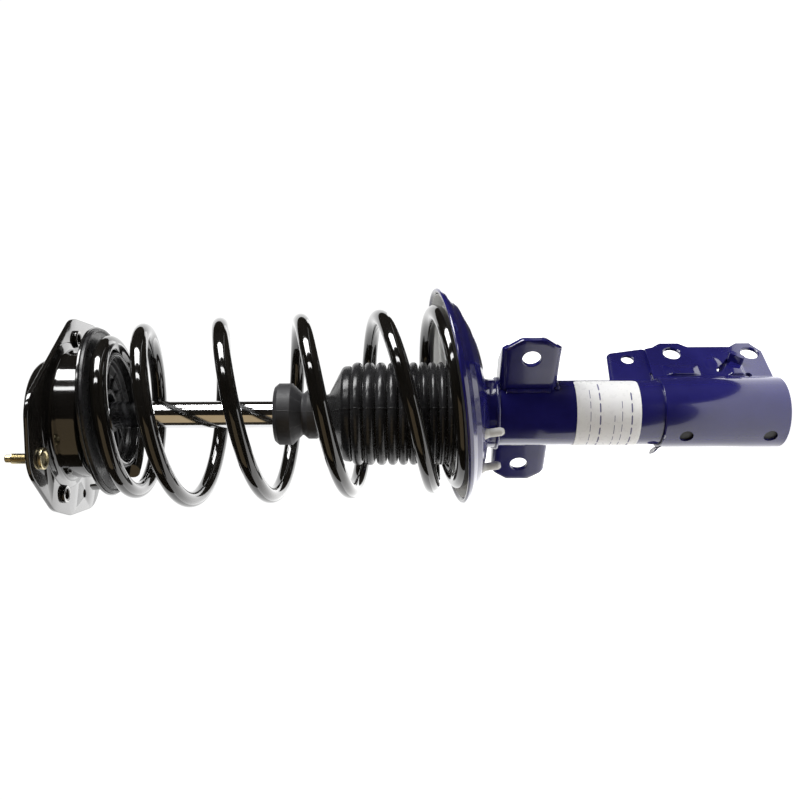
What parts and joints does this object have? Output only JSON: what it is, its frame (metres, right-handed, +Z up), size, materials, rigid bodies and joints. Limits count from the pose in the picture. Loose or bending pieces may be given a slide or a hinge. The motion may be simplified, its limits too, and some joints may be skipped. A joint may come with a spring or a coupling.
{
  "type": "strut assembly",
  "caption": "Suspension strut with coil spring, top mount and bearing, dust boot, offset lower spring seat, knuckle clamp bracket and stabiliser link brackets.",
  "frame": {"origin": "on the piston rod's axis at the top face of the mount plate, the centre of the two tapped holes", "axes": "+Z up along the piston rod with the top mount up, +X outboard towards the knuckle flanges, the knuckle bolts run along Y"},
  "size_m": [0.196, 0.19, 0.6068],
  "materials": {
    "mount_paint": "gloss black paint on pressed steel",
    "seat_paint": "satin black paint",
    "mount_rubber": "moulded rubber",
    "insulator_rubber": "satin moulded rubber",
    "spring_paint": "gloss black epoxy powder coat",
    "rod_chrome": "ground hard chrome",
    "plated_steel": "zinc plated",
    "gold_zinc": "yellow zinc plated",
    "bearing_steel": "ground steel",
    "sintered_iron": "sintered, machined faces",
    "cage_plastic": "moulded",
    "band_plastic": "low friction band",
    "bush_bronze": "lined bronze bush",
    "strut_paint": "deep blue gloss paint",
    "natural_plastic": "natural moulded plastic",
    "boot_rubber": "satin blow-moulded rubber",
    "bumper_foam": "dense moulded foam",
    "label_film": "blank printed film"
  },
  "bodies": {
    "top_mount": {"mount_plate": "mount_paint", "mount_housing": "mount_paint", "mount_rubber": "mount_rubber", "mount_inner_sleeve": "plated_steel", "rebound_washer": "plated_steel", "rod_nut": "plated_steel", "mount_stud": "gold_zinc", "mount_pierce_nuts": "mount_paint", "bearing_upper_race": "bearing_steel", "piston_rod": "rod_chrome", "rebound_stop": "mount_rubber", "piston": "sintered_iron", "piston_band": "band_plastic", "valve_shims": "bearing_steel", "piston_nut": "plated_steel"},
    "bearing_ring": {"bearing_balls": "bearing_steel", "bearing_cage": "cage_plastic"},
    "upper_seat": {"bearing_lower_race": "bearing_steel", "upper_spring_seat": "seat_paint", "upper_insulator": "insulator_rubber", "bumper_cup": "seat_paint"},
    "strut_tube": {"coil_spring": "spring_paint", "reserve_tube": "strut_paint", "cylinder_tube": "bearing_steel", "rod_guide": "sintered_iron", "guide_bush": "bush_bronze", "rod_seal": "mount_rubber", "base_valve": "sintered_iron", "base_cap": "strut_paint", "lower_spring_seat": "strut_paint", "seat_collar": "strut_paint", "lower_insulator": "natural_plastic", "dust_boot": "boot_rubber", "jounce_bumper": "bumper_foam", "link_bracket_front": "strut_paint", "link_bracket_rear": "strut_paint", "knuckle_bracket": "strut_paint", "hose_bracket": "strut_paint", "tube_label": "label_film"}
  },
  "joints": [
    {"name": "steer_turn", "type": "hinge", "parent": "top_mount", "child": "upper_seat", "pos_m": [0, 0, -0.025], "axis": [0, 0, 1], "range_deg": [-40, 40]},
    {"name": "bearing_turn", "type": "hinge", "parent": "top_mount", "child": "bearing_ring", "pos_m": [0, 0, -0.025], "axis": [0, 0, 1], "range_deg": [-20, 20]},
    {"name": "strut_travel", "type": "slide", "parent": "upper_seat", "child": "strut_tube", "axis": [0, 0, 1], "range_m": [0, 0.15], "stiffness_N_per_m": 25000, "deforming": ["coil_spring", "dust_boot", "jounce_bumper"]}
  ],
  "couplings": [
    {"joint": "bearing_turn", "follows": "steer_turn", "ratio": 0.5}
  ]
}
